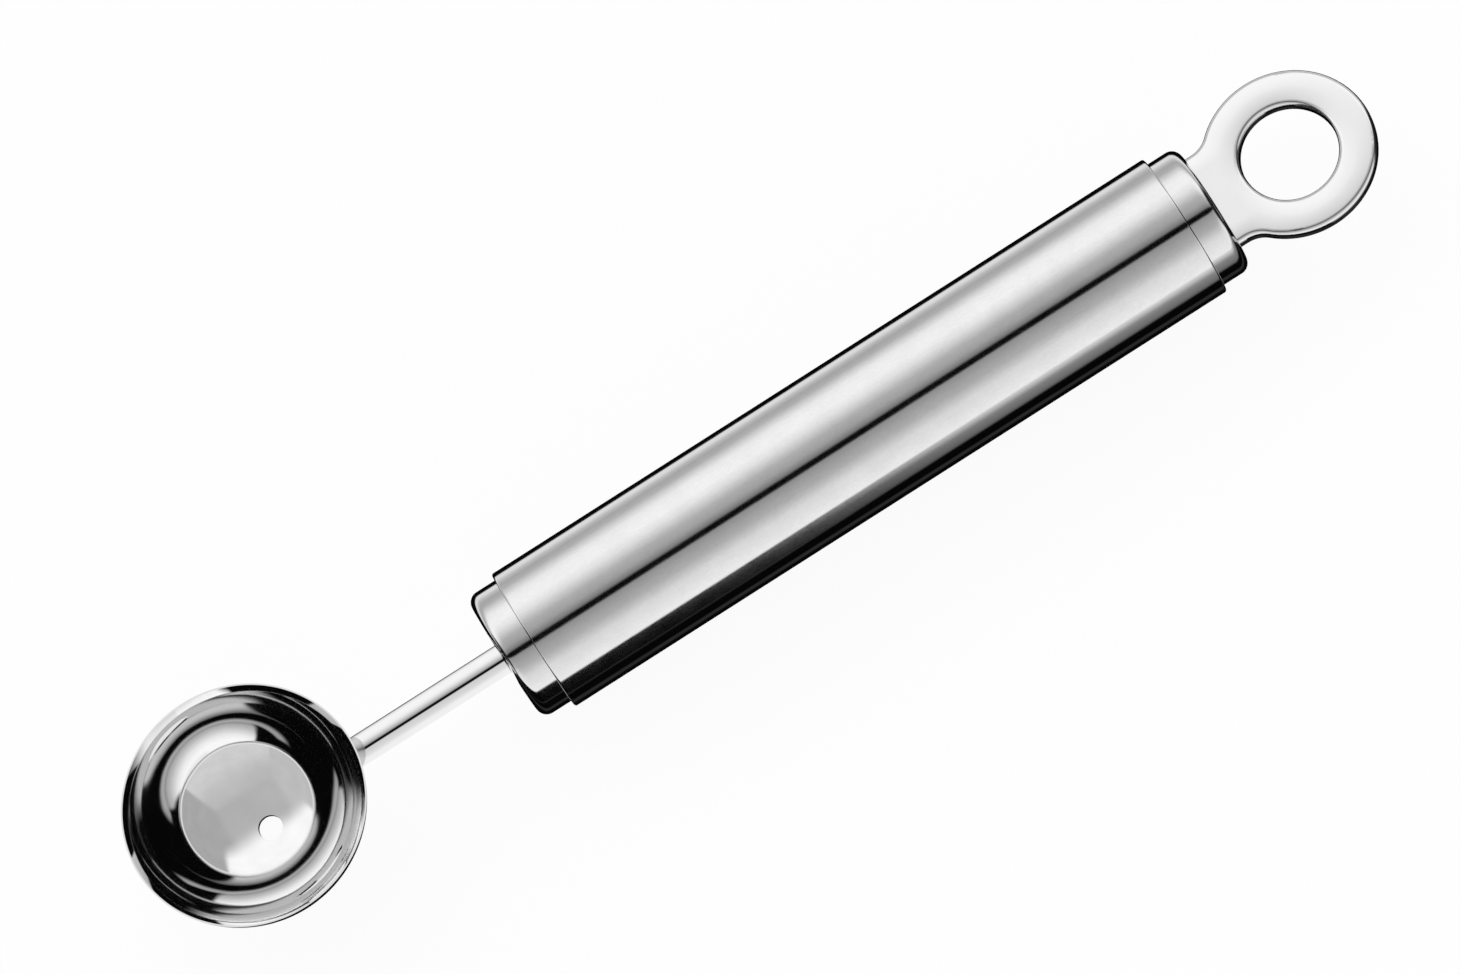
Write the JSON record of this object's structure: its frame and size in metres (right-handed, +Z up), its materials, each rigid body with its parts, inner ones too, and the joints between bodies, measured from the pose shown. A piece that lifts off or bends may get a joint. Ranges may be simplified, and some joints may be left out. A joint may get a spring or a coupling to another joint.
{
  "type": "melon baller",
  "caption": "Hand tool with a sharp-edged half-ball bowl on a straight neck, a round tube handle with rounded end caps, and a flat hanging ring.",
  "frame": {"origin": "on the surface that the handle lies on, under the middle of the whole tool's length and on the handle's centre line", "axes": "+X along the handle from the bowl to the hanging ring, +Z up out of the bowl, square to its rim"},
  "size_m": [0.1752, 0.0304, 0.019],
  "materials": {
    "mirror_steel": "stainless steel polished to a mirror",
    "polished_steel": "stainless steel, polished along the handle",
    "satin_steel": "stainless steel plate, fine satin",
    "weld_steel": "steel weld, ground smooth"
  },
  "bodies": {
    "root": {"bowl": "mirror_steel", "bowl_weld": "weld_steel", "neck_rod": "mirror_steel", "front_cap": "polished_steel", "rod_weld": "weld_steel", "handle_sleeve": "polished_steel", "rear_cap": "polished_steel", "hanging_ring": "satin_steel", "ring_weld": "weld_steel"}
  },
  "joints": []
}
